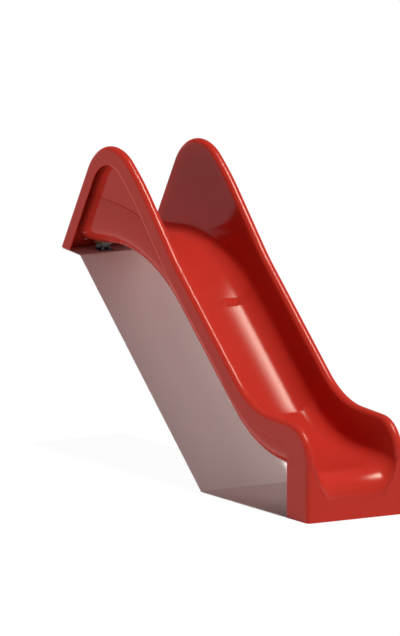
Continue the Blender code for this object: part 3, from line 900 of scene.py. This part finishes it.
def build_plate():
    """The folded plate: landing, bank slope and foot, with a tongue inside the skirt."""
    section = [
        (0.0, -HALF_OUTER),
        (0.0, HALF_OUTER),
        (-PLATE_THICKNESS, HALF_OUTER),
        (-PLATE_THICKNESS, -HALF_OUTER),
    ]
    plate = swept("folded_plate", plate_line, section)
    inside = HALF_OUTER - SHELL - TONGUE_CLEARANCE
    rear, front = -SKIRT_LENGTH - FIT_GAP, FIT_GAP
    corners = [
        Vector((rear, CUT_MARGIN)),
        Vector((front, CUT_MARGIN)),
        Vector((front, -CUT_MARGIN)),
        Vector((rear, -CUT_MARGIN)),
    ]
    spans = ((-CUT_REACH, -inside), (inside, CUT_REACH))
    notches = [prism("notch", corners, *span) for span in spans]
    for notch in notches:
        cut(plate, notch)
    dressed(settled(plate, *notches), "grey_plate", "bank_plate")


build_chute()
build_side(1, "left")
build_side(-1, "right")
build_skirt()
build_rear_panel()
build_plate()

# Pieces of the model that keep their shape
slots = {part["node"]: part["material_slot"] for part in frame["record"]["subparts"]}
for node, thing in frame["nodes"].items():
    thing.data.materials.clear()
    thing.data.materials.append(finishes[slots[node]])

# Studio floor: grey to the light, and white to the eye with a little of its own shading
WHITE = grey(1.0)
FLOOR_SIZE = 400.0
FLOOR_GREY = grey(0.80)
FLOOR_PALE = grey(0.95)
SHADOW_SHARE = 0.05

# Backdrop: the light it throws, and the sines between which white turns into a dim ceiling
SKY_SHADE = 0.05
BACKDROP_TOP = math.sin(math.radians(2.5))
CEILING_START = math.sin(math.radians(9.0))
CEILING_SHADE = 0.10

# Glow in the ceiling, which shows in the polished surfaces
GLOW_DIRECTION = Vector((0.25, 0.10, 0.963)).normalized()
GLOW_COLOUR = colour(0.95, 1.0, 0.84)
GLOW_STRENGTH = 74.0
GLOW_LENGTH = math.radians(8.0)
GLOW_WIDTH = math.radians(7.5)

# Lamps: direction seen from the slide, strength, and breadth in degrees
LAMPS = {
    "top_lamp": ((0.25, 0.03, 0.967), 3.15, 4.0),
    "front_lamp": ((0.97, 0.15, 0.05), 0.20, 30.0),
    "right_lamp": ((-0.05, -0.99, 0.04), 0.60, 16.0),
    "left_lamp": ((0.36, 0.90, 0.22), 1.40, 65.0),
    "rear_lamp": ((-0.97, 0.10, 0.22), 1.00, 20.0),
}


def build_floor():
    """A plain floor: grey to the light, nearly white to the eye and to reflections."""
    shape = bmesh.new()
    bmesh.ops.create_grid(shape, x_segments=1, y_segments=1, size=FLOOR_SIZE / 2)
    mesh = bpy.data.meshes.new("studio_floor")
    shape.to_mesh(mesh)
    shape.free()
    floor = linked("studio_floor", mesh)
    s = Shader(bpy.data.materials.new("studio_floor"))
    plain = s.node("ShaderNodeBsdfDiffuse", None, {"Color": FLOOR_GREY})
    white = s.node("ShaderNodeEmission", None, {"Color": WHITE, "Strength": 1.0})
    shaded = s.node("ShaderNodeBsdfDiffuse", None, {"Color": FLOOR_PALE})
    pale = s.node("ShaderNodeMixShader", None, {"Fac": SHADOW_SHARE, 1: white, 2: shaded})
    result = s.node("ShaderNodeMixShader", None, {"Fac": s.looked_at(), 1: plain, 2: pale})
    s.node("ShaderNodeOutputMaterial", None, {"Surface": result})
    mesh.materials.append(s.owner)


def build_world():
    """A white backdrop below a dim ceiling with one soft glow in it."""
    world = bpy.data.worlds.new("studio")
    bpy.context.scene.world = world
    s = Shader(world)
    mirrored = s.node("ShaderNodeLightPath", output="Is Glossy Ray")
    direction = s.node("ShaderNodeTexCoord", output="Generated")
    across = GLOW_DIRECTION.cross(Vector((1.0, 0.0, 0.0))).normalized()
    dot = {"operation": "DOT_PRODUCT"}
    beside, along = [
        s.node("ShaderNodeVectorMath", dot, {0: direction, 1: axis}, "Value")
        for axis in (across, across.cross(GLOW_DIRECTION))
    ]
    beside = beside / GLOW_WIDTH
    along = along / GLOW_LENGTH
    fall = (beside * beside + along * along) * -0.5
    bell = s.node("ShaderNodeMath", {"operation": "EXPONENT"}, {0: fall})
    glow = bell * mirrored * GLOW_STRENGTH
    room = s.node("ShaderNodeBackground", None, {"Color": WHITE, "Strength": SKY_SHADE})
    height = s.node("ShaderNodeSeparateXYZ", None, {"Vector": direction}, "Z")
    overhead = s.node(
        "ShaderNodeMapRange",
        {"interpolation_type": "SMOOTHSTEP"},
        {"Value": height, "From Min": BACKDROP_TOP, "From Max": CEILING_START},
    )
    shade = 1 - overhead * (1 - CEILING_SHADE)
    white = s.node("ShaderNodeBackground", None, {"Color": WHITE, "Strength": shade})
    backdrop = s.node("ShaderNodeMixShader", None, {"Fac": s.looked_at(), 1: room, 2: white})
    lamp = s.node("ShaderNodeBackground", None, {"Color": GLOW_COLOUR, "Strength": glow})
    result = s.node("ShaderNodeAddShader", None, {0: backdrop, 1: lamp})
    s.node("ShaderNodeOutputWorld", None, {"Surface": result})


def build_lamp(name, towards, strength, breadth):
    """A distant lamp, left out of reflections, where the backdrop and the glow show instead."""
    data = bpy.data.lights.new(name, "SUN")
    data.energy = strength
    data.angle = math.radians(breadth)
    lamp = bpy.data.objects.new(name, data)
    bpy.context.scene.collection.objects.link(lamp)
    lamp.rotation_mode = "QUATERNION"
    lamp.rotation_quaternion = Vector(towards).to_track_quat("Z", "Y")
    lamp.visible_glossy = False


build_floor()
build_world()
for name, (towards, strength, breadth) in LAMPS.items():
    build_lamp(name, towards, strength, breadth)

# Camera at the photograph's angle, far off with a long lens because that view is nearly parallel
CAMERA_AZIMUTH = math.radians(59.10)
CAMERA_ELEVATION = math.radians(9.759)
CAMERA_ROLL = math.radians(0.079)
CAMERA_LENS = 1000.0
CAMERA_SENSOR = 36.0
CAMERA_DISTANCE = 95.561
CAMERA_REACH = 3 * CAMERA_DISTANCE
CAMERA_AIM = Vector((-1.0285, -0.3657, 0.9765))


def build_camera():
    """A camera that looks at the middle of the photograph's frame."""
    data = bpy.data.cameras.new("camera")
    data.lens = CAMERA_LENS
    data.sensor_width = CAMERA_SENSOR
    data.clip_end = CAMERA_REACH
    camera = bpy.data.objects.new("camera", data)
    bpy.context.scene.collection.objects.link(camera)
    backward = Vector((
        math.sin(CAMERA_AZIMUTH) * math.cos(CAMERA_ELEVATION),
        -math.cos(CAMERA_AZIMUTH) * math.cos(CAMERA_ELEVATION),
        math.sin(CAMERA_ELEVATION),
    ))
    facing = backward.to_track_quat("Z", "Y").to_matrix().to_4x4()
    roll = Matrix.Rotation(CAMERA_ROLL, 4, "Z")
    place = Matrix.Translation(CAMERA_AIM + backward * CAMERA_DISTANCE)
    camera.matrix_world = place @ (facing @ roll)
    bpy.context.scene.camera = camera


build_camera()
bpy.context.scene.view_settings.view_transform = "Standard"
